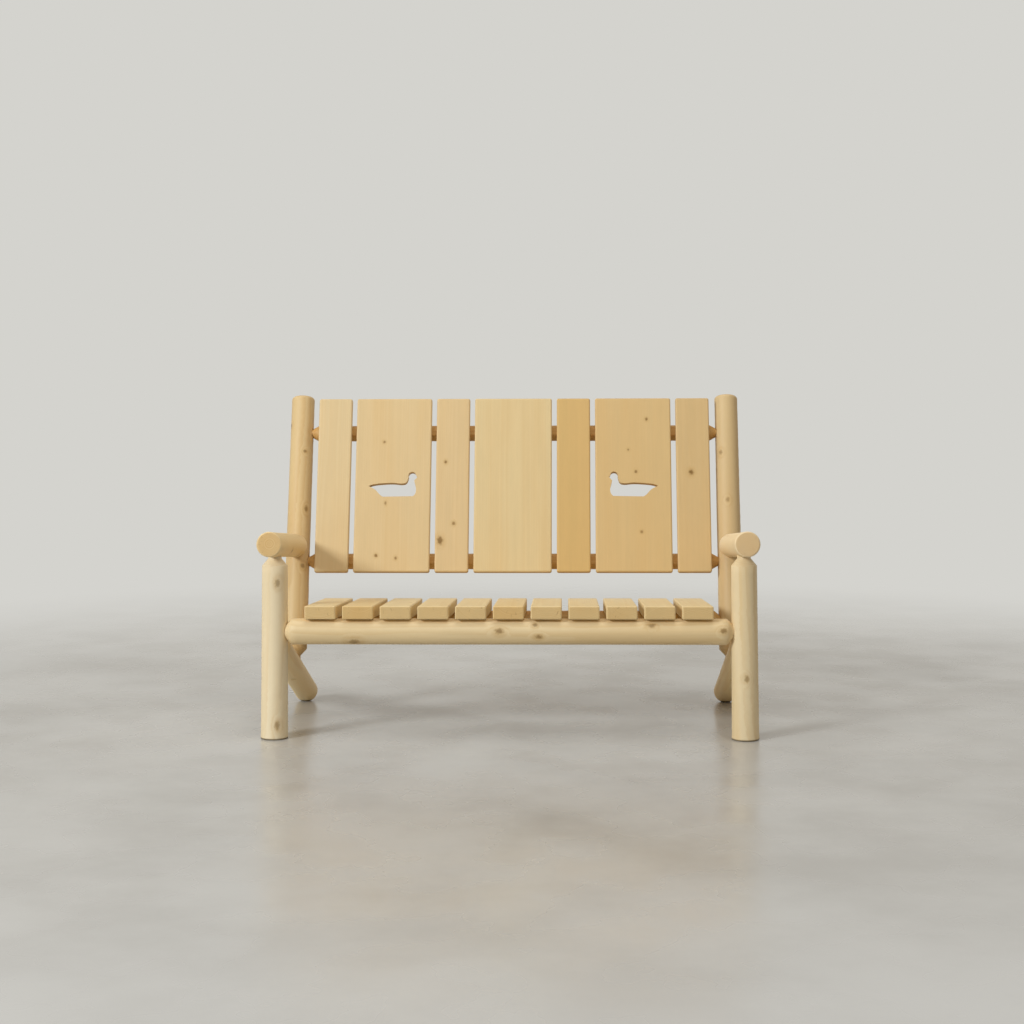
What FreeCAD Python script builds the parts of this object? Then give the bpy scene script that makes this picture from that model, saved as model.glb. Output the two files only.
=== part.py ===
import FreeCAD, Part
import math
import os
from collections import namedtuple

# Rustic log bench, in millimetres. X runs along the seat, Y from front to back, Z up.
# It is laid out from the floor point between the two front feet, and moved at the end
# so that the origin is the floor point under the middle of the whole bench.

# Side frames: a front leg, an arm, a sloping side rail and a back post at each end
FRAME_HALF_WIDTH = 663.5
FOOT_SPLAY = 8.0

LEG_FOOT_DIAMETER = 78.0
LEG_TOP_DIAMETER = 72.0
LEG_FOOT_EASE = 4.0

ARM_DIAMETER = 71.0
ARM_ABOVE_SEAT_RAIL = 247.5
ARM_DROP_ANGLE = 5.2
ARM_OVERHANG = 105.0
ARM_END_EASE = 5.0

SIDE_RAIL_DIAMETER = 73.0
SIDE_RAIL_BELOW_SEAT_RAIL = 27.0
SIDE_RAIL_ANGLE = 21.7
SIDE_RAIL_END_EASE = 6.0
SIDE_RAIL_FOOT_TRIM = 4.0

POST_FOOT_DIAMETER = 75.0
POST_TOP_DIAMETER = 71.0
POST_SET_BACK = 322.0
POST_LEAN_ANGLE = 17.5
POST_LENGTH = 857.5
POST_TOP_EASE = 10.0

# Seat: two cross rails planed flat on top, and boards laid across them
SEAT_RAIL_DIAMETER = 75.0
SEAT_RAIL_HEIGHT = 307.0
SEAT_RAIL_PLANED_DEPTH = 0.8
SEAT_DROP_ANGLE = 3.5
SEAT_SLAT_COUNT = 11
SEAT_SLAT_GAP = 19.0
SEAT_SLATS_TO_LEG = 47.8
SEAT_SLAT_THICKNESS = 37.5
SEAT_SLAT_FRONT_OVERHANG = 40.0
SEAT_SLAT_REAR_OVERHANG = 16.0
SEAT_SLAT_EASE = 4.0

# Back: two round poles planed flat in front, and boards fixed upright on them
BACK_RAIL_DIAMETER = 49.0
BACK_RAIL_PLANED_DEPTH = 3.5
BACK_SLAT_GAP = 15.5
BACK_SLATS_TO_POST = 19.7
BACK_SLAT_LENGTH = 552.5
BACK_SLAT_THICKNESS = 21.0
BACK_SLAT_CORNER = 6.0
BACK_SLAT_EASE = 5.0
BACK_SLAT_CLEAR_OF_SEAT = 74.4
LOWER_RAIL_ABOVE_SLAT_END = 41.6
UPPER_RAIL_BELOW_SLAT_END = 101.5

# Widths of the back slats from left to the middle one, as shares of all the boards side by side
NARROW_SLAT_SHARE = 0.0922
WIDE_SLAT_SHARE = 0.2088

# Duck cut-out, in the middle of each wide board
DUCK_LENGTH = 150.0
DUCK_HEIGHT = 79.0
DUCK_HEAD_DIAMETER = 26.0

# Round tenons with tapered shoulders. The reach runs past the axis of the log that takes
# the tenon, and the seat is how far the shoulder beds into that log.
TENON_DIAMETER = 38.0
TENON_SHOULDER = 21.0
TENON_TIP_EASE = 2.0
SMALL_TENON_DIAMETER = 29.0
SMALL_TENON_SHOULDER = 18.0
TENON_REACH = 8.0
SHOULDER_SEAT = 2.0
SEAT_RAIL_SHOULDER_SEAT = 7.0
LEG_TENON_SHOWN = 3.0
TENON_CLEARANCE = 0.2
MORTISE_END_GAP = 1.0

# Wood screws with flat-bottomed heads, sunk in counterbores
SCREW_DIAMETER = 4.5
SCREW_HEAD_DIAMETER = 9.5
SCREW_HEAD_HEIGHT = 3.0
SCREW_TIP = 7.0
SCREW_CLEARANCE = 0.15
SCREW_TIP_GAP = 1.0
COUNTERBORE_CLEARANCE = 0.6
SEAT_SCREW_BITE = 22.0
SEAT_SCREW_COUNTERBORE = 30.0
BACK_SCREW_BITE = 14.0
BACK_SCREW_COUNTERBORE = 14.0
TENON_SCREW_COUNTERBORE = 9.0
TENON_SCREW_BITE = 5.0

# Hex lag screws
LAG_DIAMETER = 8.0
LAG_HEAD_ACROSS_CORNERS = 14.4
LAG_HEAD_HEIGHT = 5.3
LAG_TIP = 9.0
LAG_COUNTERBORE = 12.0
LAG_BITE = 52.0

Tenon = namedtuple("Tenon", "radius shoulder")
Station = namedtuple("Station", "distance radius through", defaults=(False,))
Screw = namedtuple("Screw", "radius head_radius head_height tip sides", defaults=(0,))

TENON = Tenon(TENON_DIAMETER / 2, TENON_SHOULDER)
SMALL_TENON = Tenon(SMALL_TENON_DIAMETER / 2, SMALL_TENON_SHOULDER)
WOOD_SCREW = Screw(SCREW_DIAMETER / 2, SCREW_HEAD_DIAMETER / 2, SCREW_HEAD_HEIGHT, SCREW_TIP)
LAG_SCREW = Screw(LAG_DIAMETER / 2, LAG_HEAD_ACROSS_CORNERS / 2, LAG_HEAD_HEIGHT, LAG_TIP, 6)

UP = FreeCAD.Vector(0, 0, 1)
ACROSS = FreeCAD.Vector(1, 0, 0)
ORIGIN = FreeCAD.Vector(0, 0, 0)


# Directions and crossings

def backward(drop_angle):
    """Unit vector that runs to the back and falls by an angle."""
    angle = math.radians(drop_angle)
    return FreeCAD.Vector(0, math.cos(angle), -math.sin(angle))


def upward(lean_angle):
    """Unit vector that runs up and leans to the back by an angle."""
    angle = math.radians(lean_angle)
    return FreeCAD.Vector(0, math.sin(angle), math.cos(angle))


class Axis:
    """Centre line of a log, with a diameter at its first and last named points."""

    def __init__(self, start, finish, start_diameter, finish_diameter):
        self.start = start
        self.length = (finish - start).Length
        self.direction = (finish - start).normalize()
        self.start_radius = start_diameter / 2
        self.taper = (finish_diameter - start_diameter) / 2 / self.length

    def point(self, distance):
        return self.start + self.direction * distance

    def radius(self, distance):
        return self.start_radius + self.taper * distance

    def distance_at_height(self, height):
        return (height - self.start.z) / self.direction.z

    def distance_across(self, point, direction):
        """Distance to where the log crosses a line, both seen from the side."""
        gap = (point - self.start).cross(direction)
        return gap.x / self.direction.cross(direction).x

    def skin(self, distance, direction):
        """Length of a line through the axis at an angle, from the axis to the log's skin."""
        return self.radius(distance) / self.direction.cross(direction).Length


# Turned and planed shapes

def lathe(stations, start, direction):
    """Solid turned about a line from start, from stations of distance and radius."""
    edges = []
    points = [FreeCAD.Vector(s.radius, 0, s.distance) for s in stations]
    count = 0
    while count < len(stations) - 1:
        if stations[count + 1].through:
            edges.append(Part.Arc(points[count], points[count + 1], points[count + 2]).toShape())
            count += 2
        else:
            edges.append(Part.LineSegment(points[count], points[count + 1]).toShape())
            count += 1
    edges.append(Part.LineSegment(points[-1], points[0]).toShape())
    solid = Part.Face(Part.Wire(edges)).revolve(ORIGIN, UP, 360)
    solid.Placement = FreeCAD.Placement(start, FreeCAD.Rotation(UP, direction))
    return solid


def cut_end(radius, ease):
    """Stations of a square-cut end with a rounded rim."""
    inset = ease * (1 - math.sqrt(0.5))
    return [Station(0, 0), Station(0, radius - ease), Station(inset, radius - inset, True), Station(ease, radius)]


def tenon_end(radius, tenon, length):
    """Stations of a round tenon and its tapered shoulder."""
    return [
        Station(0, 0),
        Station(0, tenon.radius - TENON_TIP_EASE),
        Station(TENON_TIP_EASE, tenon.radius),
        Station(length, tenon.radius),
        Station(length + tenon.shoulder, radius),
    ]


def log(start, finish, start_end, finish_end):
    """Log between two end faces, each end given by its stations."""
    length = (finish - start).Length
    far = [Station(length - s.distance, s.radius, s.through) for s in reversed(finish_end)]
    return lathe(start_end + far, start, finish - start)


def mortise(tip, direction, tenon, length, radius):
    """Tool that cuts room for a tenon, its shoulder and the start of its log."""
    stations = [
        Station(-MORTISE_END_GAP, 0),
        Station(-MORTISE_END_GAP, tenon.radius + TENON_CLEARANCE),
        Station(length, tenon.radius + TENON_CLEARANCE),
        Station(length + tenon.shoulder, radius + TENON_CLEARANCE),
        Station(length + tenon.shoulder + radius, radius + TENON_CLEARANCE),
        Station(length + tenon.shoulder + radius, 0),
    ]
    return lathe(stations, tip, direction)


def block_beyond(point, normal, size):
    """Tool that fills the side of a plane that its normal points to."""
    block = Part.makeBox(size * 2, size * 2, size, FreeCAD.Vector(-size, -size, 0))
    block.Placement = FreeCAD.Placement(point, FreeCAD.Rotation(UP, normal))
    return block


def mirrored(shape):
    return shape.mirror(ORIGIN, ACROSS)


def both_sides(shapes):
    return shapes + [mirrored(s) for s in shapes]


# Screws

def screw(seat, direction, kind, length):
    """Screw whose head sits on the seat and whose shank runs along the direction."""
    shank = [
        Station(0, 0),
        Station(0, kind.radius),
        Station(length - kind.tip, kind.radius),
        Station(length, 0),
    ]
    if not kind.sides:
        head = [Station(-kind.head_height, 0), Station(-kind.head_height, kind.head_radius)]
        return lathe(head + [Station(0, kind.head_radius)] + shank[1:], seat, direction)
    turns = [math.radians(360 / kind.sides * n) for n in range(kind.sides + 1)]
    corners = [FreeCAD.Vector(math.cos(a), math.sin(a), 0) * kind.head_radius for a in turns]
    head = Part.Face(Part.makePolygon(corners)).extrude(UP * -kind.head_height)
    head.Placement = FreeCAD.Placement(seat, FreeCAD.Rotation(UP, direction))
    return head.fuse(lathe(shank, seat, direction)).removeSplitter()


def screw_hole(seat, direction, kind, length, counterbore):
    """Tool for the counterbore behind a screw's seat and the hole ahead of it."""
    wide = kind.head_radius + COUNTERBORE_CLEARANCE
    narrow = kind.radius + SCREW_CLEARANCE
    stations = [
        Station(-counterbore * 2, 0),
        Station(-counterbore * 2, wide),
        Station(0, wide),
        Station(0, narrow),
        Station(length + SCREW_TIP_GAP, narrow),
        Station(length + SCREW_TIP_GAP, 0),
    ]
    return lathe(stations, seat, direction)


# Centre lines of one side frame, on the right

ARM_HEIGHT = SEAT_RAIL_HEIGHT + ARM_ABOVE_SEAT_RAIL
SIDE_RAIL_HEIGHT = SEAT_RAIL_HEIGHT - SIDE_RAIL_BELOW_SEAT_RAIL
ARM_LINE = Axis(
    FreeCAD.Vector(FRAME_HALF_WIDTH, 0, ARM_HEIGHT) - backward(ARM_DROP_ANGLE) * ARM_OVERHANG,
    FreeCAD.Vector(FRAME_HALF_WIDTH, 0, ARM_HEIGHT),
    ARM_DIAMETER,
    ARM_DIAMETER,
)
LEG_LINE = Axis(
    FreeCAD.Vector(FRAME_HALF_WIDTH + FOOT_SPLAY, 0, 0),
    FreeCAD.Vector(FRAME_HALF_WIDTH, 0, ARM_HEIGHT),
    LEG_FOOT_DIAMETER,
    LEG_TOP_DIAMETER,
)


def side_rail_line():
    """The side rail starts on the leg's axis and ends over the floor, with its tip trimmed flat."""
    start = LEG_LINE.point(LEG_LINE.distance_at_height(SIDE_RAIL_HEIGHT))
    run = backward(SIDE_RAIL_ANGLE)
    radius = SIDE_RAIL_DIAMETER / 2
    end_height = radius * run.y - SIDE_RAIL_FOOT_TRIM
    finish = start + run * ((end_height - start.z) / run.z)
    finish.x = FRAME_HALF_WIDTH + FOOT_SPLAY
    return Axis(start, finish, SIDE_RAIL_DIAMETER, SIDE_RAIL_DIAMETER)


def post_line():
    """The post stands on the side rail's axis, a set distance behind the front leg."""
    on_rail = SIDE_RAIL_LINE.point(POST_SET_BACK / SIDE_RAIL_LINE.direction.y)
    foot = FreeCAD.Vector(FRAME_HALF_WIDTH, on_rail.y, on_rail.z)
    return Axis(foot, foot + upward(POST_LEAN_ANGLE) * POST_LENGTH, POST_FOOT_DIAMETER, POST_TOP_DIAMETER)


SIDE_RAIL_LINE = side_rail_line()
POST_LINE = post_line()
ARM_AT_LEG = ARM_OVERHANG
ARM_AT_POST = ARM_LINE.distance_across(POST_LINE.start, POST_LINE.direction)
POST_AT_ARM = POST_LINE.distance_across(ARM_LINE.start, ARM_LINE.direction)

# Seat plane, and where the two seat rails lie under it

SEAT_RUN = backward(SEAT_DROP_ANGLE)
SEAT_NORMAL = upward(SEAT_DROP_ANGLE)
SEAT_RAIL_RADIUS = SEAT_RAIL_DIAMETER / 2
FRONT_RAIL_CENTRE = FreeCAD.Vector(0, 0, SEAT_RAIL_HEIGHT)
POST_AT_SEAT_RAIL = POST_LINE.distance_across(FRONT_RAIL_CENTRE, SEAT_RUN)
REAR_RAIL_CENTRE = POST_LINE.point(POST_AT_SEAT_RAIL) - ACROSS * FRAME_HALF_WIDTH
SEAT_PLANE_OFFSET = SEAT_RAIL_RADIUS - SEAT_RAIL_PLANED_DEPTH
SEAT_RAIL_SPACING = (REAR_RAIL_CENTRE - FRONT_RAIL_CENTRE).Length
SEAT_SLATS_SPAN = (FRAME_HALF_WIDTH - LEG_LINE.start_radius - SEAT_SLATS_TO_LEG) * 2
SEAT_SLAT_WIDTH = (SEAT_SLATS_SPAN + SEAT_SLAT_GAP) / SEAT_SLAT_COUNT - SEAT_SLAT_GAP

# Back plane, and where the two back rails lie behind it

BACK_UP = POST_LINE.direction
BACK_NORMAL = backward(POST_LEAN_ANGLE)
BACK_RAIL_RADIUS = BACK_RAIL_DIAMETER / 2
BACK_PLANE_OFFSET = BACK_RAIL_RADIUS - BACK_RAIL_PLANED_DEPTH
SLATS_START = POST_AT_SEAT_RAIL + SEAT_RAIL_RADIUS + SEAT_SLAT_THICKNESS + BACK_SLAT_CLEAR_OF_SEAT
POST_AT_LOWER_RAIL = SLATS_START + LOWER_RAIL_ABOVE_SLAT_END
POST_AT_UPPER_RAIL = SLATS_START + BACK_SLAT_LENGTH - UPPER_RAIL_BELOW_SLAT_END

# Widths of the back slats, which fill the room between the posts less their gaps

HALF_SHARES = [NARROW_SLAT_SHARE, WIDE_SLAT_SHARE, NARROW_SLAT_SHARE]
SLAT_SHARES = HALF_SHARES + [1 - 2 * sum(HALF_SHARES)] + HALF_SHARES
BACK_SLATS_SPAN = (FRAME_HALF_WIDTH - POST_LINE.start_radius - BACK_SLATS_TO_POST) * 2
BOARDS_WIDTH = BACK_SLATS_SPAN - BACK_SLAT_GAP * (len(SLAT_SHARES) - 1)
BACK_SLAT_WIDTHS = [share * BOARDS_WIDTH for share in SLAT_SHARES]
NARROW_SLAT, WIDE_SLAT = BACK_SLAT_WIDTHS[:2]


# Tenons: each place gives the tip, the way in along the log and the tenon's length

def tenon_length(line, distance, direction, reach, seat):
    return line.skin(distance, direction) + reach - seat


LEG_TENON_LENGTH = tenon_length(ARM_LINE, ARM_AT_LEG, LEG_LINE.direction, TENON_REACH, -LEG_TENON_SHOWN)
LEG_TIP = LEG_LINE.point(LEG_LINE.length + TENON_REACH)

ARM_TENON_LENGTH = tenon_length(POST_LINE, POST_AT_ARM, ARM_LINE.direction, TENON_REACH, SHOULDER_SEAT)
ARM_TIP = ARM_LINE.point(ARM_AT_POST + TENON_REACH)

POST_TENON_LENGTH = tenon_length(
    SIDE_RAIL_LINE, POST_SET_BACK, POST_LINE.direction, TENON_REACH, -SHOULDER_SEAT
)
POST_TIP = POST_LINE.point(-TENON_REACH)

# The side rail's tenon stops short of the leg's axis, clear of the front seat rail's tenon
LEG_AT_SIDE_RAIL = LEG_LINE.distance_at_height(SIDE_RAIL_HEIGHT)
SIDE_RAIL_REACH = -TENON.radius
SIDE_RAIL_TENON_LENGTH = tenon_length(
    LEG_LINE, LEG_AT_SIDE_RAIL, SIDE_RAIL_LINE.direction, SIDE_RAIL_REACH, SHOULDER_SEAT
)
SIDE_RAIL_TIP = SIDE_RAIL_LINE.point(-SIDE_RAIL_REACH)

LEG_AT_SEAT_RAIL = LEG_LINE.distance_at_height(SEAT_RAIL_HEIGHT)
FRONT_RAIL_TENON_LENGTH = tenon_length(
    LEG_LINE, LEG_AT_SEAT_RAIL, ACROSS, TENON_REACH, SEAT_RAIL_SHOULDER_SEAT
)
FRONT_RAIL_TIP = LEG_LINE.point(LEG_AT_SEAT_RAIL) + ACROSS * TENON_REACH

REAR_RAIL_TENON_LENGTH = tenon_length(
    POST_LINE, POST_AT_SEAT_RAIL, ACROSS, TENON_REACH, SEAT_RAIL_SHOULDER_SEAT
)
REAR_RAIL_TIP = POST_LINE.point(POST_AT_SEAT_RAIL) + ACROSS * TENON_REACH


def back_rail_tenon(distance):
    """Length and tip of a back rail's tenon, at a distance up the post."""
    length = tenon_length(POST_LINE, distance, ACROSS, TENON_REACH, 0)
    return length, POST_LINE.point(distance) + ACROSS * TENON_REACH


# Screw places: seat point, direction, kind, length and counterbore of each

def seat_screws(rail_centre):
    """A screw from below through a seat rail into each seat slat."""
    depth = SEAT_RAIL_RADIUS - SEAT_SCREW_COUNTERBORE
    length = depth + SEAT_PLANE_OFFSET + SEAT_SCREW_BITE
    seats = [rail_centre + ACROSS * x - SEAT_NORMAL * depth for x in seat_slat_places()]
    return [(seat, SEAT_NORMAL, WOOD_SCREW, length, SEAT_SCREW_COUNTERBORE) for seat in seats]


def back_screws(distance):
    """Screws from behind through a back rail: one in a narrow slat, two in a wide one."""
    depth = BACK_RAIL_RADIUS - BACK_SCREW_COUNTERBORE
    length = depth + BACK_PLANE_OFFSET + BACK_SCREW_BITE
    centre = POST_LINE.point(distance) - ACROSS * FRAME_HALF_WIDTH
    places = []
    for middle, width in back_slat_places():
        offsets = [0] if width == NARROW_SLAT else [-width / 4, width / 4]
        places += [middle + offset for offset in offsets]
    seats = [centre + ACROSS * x + BACK_NORMAL * depth for x in places]
    return [(seat, -BACK_NORMAL, WOOD_SCREW, length, BACK_SCREW_COUNTERBORE) for seat in seats]


def tenon_screw(distance, tenon):
    """A screw from behind through the post and a rail's tenon."""
    depth = POST_LINE.radius(distance) - TENON_SCREW_COUNTERBORE
    length = depth + tenon.radius + TENON_SCREW_BITE
    seat = POST_LINE.point(distance) + BACK_NORMAL * depth
    return (seat, -BACK_NORMAL, WOOD_SCREW, length, TENON_SCREW_COUNTERBORE)


def arm_lag():
    """A lag screw from behind the post along the arm."""
    depth = POST_LINE.skin(POST_AT_ARM, ARM_LINE.direction) - LAG_COUNTERBORE
    seat = ARM_LINE.point(ARM_AT_POST + depth)
    return (seat, -ARM_LINE.direction, LAG_SCREW, depth - TENON_REACH + LAG_BITE, LAG_COUNTERBORE)


def post_lag():
    """A lag screw from below the side rail up along the post."""
    depth = SIDE_RAIL_LINE.skin(POST_SET_BACK, POST_LINE.direction) - LAG_COUNTERBORE
    seat = POST_LINE.point(-depth)
    return (seat, POST_LINE.direction, LAG_SCREW, depth - TENON_REACH + LAG_BITE, LAG_COUNTERBORE)


# Rows of slats

def seat_slat_places():
    """Middle of each seat slat along the bench."""
    pitch = SEAT_SLAT_WIDTH + SEAT_SLAT_GAP
    return [(n - (SEAT_SLAT_COUNT - 1) / 2) * pitch for n in range(SEAT_SLAT_COUNT)]


def back_slat_places():
    """Middle and width of each back slat, from left to right."""
    places = []
    left = -BACK_SLATS_SPAN / 2
    for width in BACK_SLAT_WIDTHS:
        places.append((left + width / 2, width))
        left += width + BACK_SLAT_GAP
    return places


def along(edge, direction):
    """Whether a straight edge runs along a direction."""
    first, last = (v.Point for v in edge.Vertexes)
    return (last - first).cross(direction).Length < (last - first).Length / 2


def seat_slat(middle):
    """Board with eased edges, laid on the seat plane."""
    length = SEAT_SLAT_FRONT_OVERHANG + SEAT_RAIL_SPACING + SEAT_SLAT_REAR_OVERHANG
    corner = FreeCAD.Vector(-SEAT_SLAT_WIDTH / 2, -SEAT_SLAT_FRONT_OVERHANG, 0)
    board = Part.makeBox(SEAT_SLAT_WIDTH, length, SEAT_SLAT_THICKNESS, corner)
    board = board.makeFillet(SEAT_SLAT_EASE, board.Edges)
    foot = FRONT_RAIL_CENTRE + SEAT_NORMAL * SEAT_PLANE_OFFSET + ACROSS * middle
    board.Placement = FreeCAD.Placement(foot, FreeCAD.Rotation(UP, SEAT_NORMAL))
    return board


# The duck's body, as shares of its length and height from the tail's tip and the belly
DUCK_TAIL_SHARES = (0.0, 0.43)
DUCK_RUMP_SHARES = [(0.06, 0.475), (0.3, 0.54), (0.55, 0.55), (0.71, 0.53), (0.77, 0.57), (0.8, 0.66)]
DUCK_NAPE_SHARES = (0.82, 0.8)
DUCK_BILL_TOP_SHARES = (0.975, 0.87)
DUCK_BILL_TIP_SHARES = (1.0, 0.78)
DUCK_THROAT_SHARES = (0.938, 0.65)
DUCK_BREAST_SHARES = [(0.953, 0.52), (0.976, 0.34), (0.966, 0.14), (0.915, 0.02)]
DUCK_BELLY_SHARES = (0.3, 0.0)
DUCK_STERN_SHARES = [(0.235, 0.08), (0.15, 0.26), (0.06, 0.37)]


def duck_point(shares):
    return FreeCAD.Vector((shares[0] - 0.5) * DUCK_LENGTH, (shares[1] - 0.5) * DUCK_HEIGHT, 0)


def curve(shares):
    """Smooth curve through a few points of the duck."""
    spline = Part.BSplineCurve()
    spline.interpolate([duck_point(s) for s in shares])
    return spline.toShape()


def duck_face():
    """Flat outline of a swimming duck that looks along X, about its own middle."""
    head_radius = DUCK_HEAD_DIAMETER / 2
    nape = duck_point(DUCK_NAPE_SHARES)
    bill_top = duck_point(DUCK_BILL_TOP_SHARES)
    chord = bill_top - nape
    crown = (nape + bill_top) / 2 + UP.cross(chord).normalize() * head_radius
    belly = duck_point(DUCK_BELLY_SHARES)
    edges = [
        curve([DUCK_TAIL_SHARES] + DUCK_RUMP_SHARES + [DUCK_NAPE_SHARES]),
        Part.Arc(nape, crown, bill_top).toShape(),
        Part.LineSegment(bill_top, duck_point(DUCK_BILL_TIP_SHARES)).toShape(),
        Part.LineSegment(duck_point(DUCK_BILL_TIP_SHARES), duck_point(DUCK_THROAT_SHARES)).toShape(),
        curve([DUCK_THROAT_SHARES] + DUCK_BREAST_SHARES),
        Part.LineSegment(duck_point(DUCK_BREAST_SHARES[-1]), belly).toShape(),
        curve([DUCK_BELLY_SHARES] + DUCK_STERN_SHARES + [DUCK_TAIL_SHARES]),
    ]
    return Part.Face(Part.Wire(edges))


def back_slat(middle, width):
    """Board with rounded corners and eased edges, set up on the back plane."""
    corner = FreeCAD.Vector(-width / 2, 0, 0)
    board = Part.makeBox(width, BACK_SLAT_LENGTH, BACK_SLAT_THICKNESS, corner)
    board = board.makeFillet(BACK_SLAT_CORNER, [e for e in board.Edges if along(e, UP)])
    rims = [f.OuterWire.Edges for f in board.Faces if abs(f.normalAt(0, 0).z) > 0.5]
    board = board.makeFillet(BACK_SLAT_EASE, rims[0] + rims[1])
    if width == WIDE_SLAT:
        duck = duck_face().extrude(UP * BACK_SLAT_THICKNESS)
        if middle > 0:
            duck = mirrored(duck)
        duck.translate(FreeCAD.Vector(0, BACK_SLAT_LENGTH / 2, 0))
        board = board.cut(duck)
    foot = POST_LINE.point(SLATS_START) - BACK_NORMAL * BACK_PLANE_OFFSET
    foot.x = middle
    board.Placement = FreeCAD.Placement(foot, FreeCAD.Rotation(ACROSS, BACK_UP, -BACK_NORMAL, "ZXY"))
    return board


# Logs of one side frame

def front_leg():
    """Upright log that stands flat on the floor, with a tenon up into the arm."""
    sink = LEG_LINE.start_radius * abs(LEG_LINE.direction.x)
    foot = LEG_LINE.point(-sink)
    top_radius = LEG_LINE.radius(LEG_LINE.length - ARM_DIAMETER / 2)
    leg = log(
        foot,
        LEG_TIP,
        cut_end(LEG_LINE.start_radius, LEG_FOOT_EASE),
        tenon_end(top_radius, TENON, LEG_TENON_LENGTH),
    )
    tools = [
        block_beyond(ORIGIN + ACROSS * FRAME_HALF_WIDTH, -UP, ARM_HEIGHT),
        mortise(
            SIDE_RAIL_TIP, SIDE_RAIL_LINE.direction, TENON, SIDE_RAIL_TENON_LENGTH, SIDE_RAIL_LINE.start_radius
        ),
        mortise(FRONT_RAIL_TIP, -ACROSS, TENON, FRONT_RAIL_TENON_LENGTH, SEAT_RAIL_RADIUS),
    ]
    return leg.cut(tools)


def arm():
    """Log over the leg with a flat-cut front end and a tenon into the post."""
    bar = log(
        ARM_LINE.start,
        ARM_TIP,
        cut_end(ARM_LINE.start_radius, ARM_END_EASE),
        tenon_end(ARM_LINE.start_radius, TENON, ARM_TENON_LENGTH),
    )
    leg_radius = LEG_LINE.radius(LEG_LINE.length - ARM_DIAMETER / 2)
    tools = [
        mortise(LEG_TIP, -LEG_LINE.direction, TENON, LEG_TENON_LENGTH, leg_radius),
        screw_hole(*arm_lag()),
    ]
    return bar.cut(tools)


def side_rail():
    """Log from the front leg down to the floor, where its end is trimmed flat: the rear leg."""
    rail = log(
        SIDE_RAIL_TIP,
        SIDE_RAIL_LINE.point(SIDE_RAIL_LINE.length),
        tenon_end(SIDE_RAIL_LINE.start_radius, TENON, SIDE_RAIL_TENON_LENGTH),
        cut_end(SIDE_RAIL_LINE.start_radius, SIDE_RAIL_END_EASE),
    )
    tools = [
        block_beyond(ORIGIN + ACROSS * FRAME_HALF_WIDTH, -UP, SIDE_RAIL_LINE.length),
        mortise(POST_TIP, POST_LINE.direction, TENON, POST_TENON_LENGTH, POST_LINE.start_radius),
        screw_hole(*post_lag()),
    ]
    return rail.cut(tools)


def back_post():
    """Log that leans back, with a tenon down into the side rail and a chamfered top."""
    post = log(
        POST_TIP,
        POST_LINE.point(POST_LINE.length),
        tenon_end(POST_LINE.start_radius, TENON, POST_TENON_LENGTH),
        cut_end(POST_LINE.radius(POST_LINE.length), POST_TOP_EASE),
    )
    tools = [
        mortise(ARM_TIP, -ARM_LINE.direction, TENON, ARM_TENON_LENGTH, ARM_LINE.start_radius),
        mortise(REAR_RAIL_TIP, -ACROSS, TENON, REAR_RAIL_TENON_LENGTH, SEAT_RAIL_RADIUS),
        screw_hole(*arm_lag()),
        screw_hole(*post_lag()),
        screw_hole(*tenon_screw(POST_AT_SEAT_RAIL, TENON)),
    ]
    for distance in (POST_AT_LOWER_RAIL, POST_AT_UPPER_RAIL):
        length, tip = back_rail_tenon(distance)
        tools.append(mortise(tip, -ACROSS, SMALL_TENON, length, BACK_RAIL_RADIUS))
        tools.append(screw_hole(*tenon_screw(distance, SMALL_TENON)))
    return post.cut(tools)


# Rails across the bench

def cross_rail(right_tip, radius, tenon, length):
    """Log along the bench with a tenon at each end."""
    left_tip = FreeCAD.Vector(-right_tip.x, right_tip.y, right_tip.z)
    end = tenon_end(radius, tenon, length)
    return log(left_tip, right_tip, end, end)


def seat_rail(right_tip, centre, length):
    """Seat rail planed flat on top, drilled from below for the slat screws."""
    rail = cross_rail(right_tip, SEAT_RAIL_RADIUS, TENON, length)
    plane = block_beyond(centre + SEAT_NORMAL * SEAT_PLANE_OFFSET, SEAT_NORMAL, right_tip.x)
    return rail.cut([plane] + [screw_hole(*place) for place in seat_screws(centre)])


def back_rail(distance):
    """Back rail planed flat in front, drilled from behind for the slat screws."""
    length, right_tip = back_rail_tenon(distance)
    rail = cross_rail(right_tip, BACK_RAIL_RADIUS, SMALL_TENON, length)
    centre = FreeCAD.Vector(0, right_tip.y, right_tip.z)
    plane = block_beyond(centre - BACK_NORMAL * BACK_PLANE_OFFSET, -BACK_NORMAL, right_tip.x)
    tools = [plane] + [screw_hole(*place) for place in back_screws(distance)]
    return rail.cut(tools + both_sides([screw_hole(*tenon_screw(distance, SMALL_TENON))]))


# The whole bench

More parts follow.
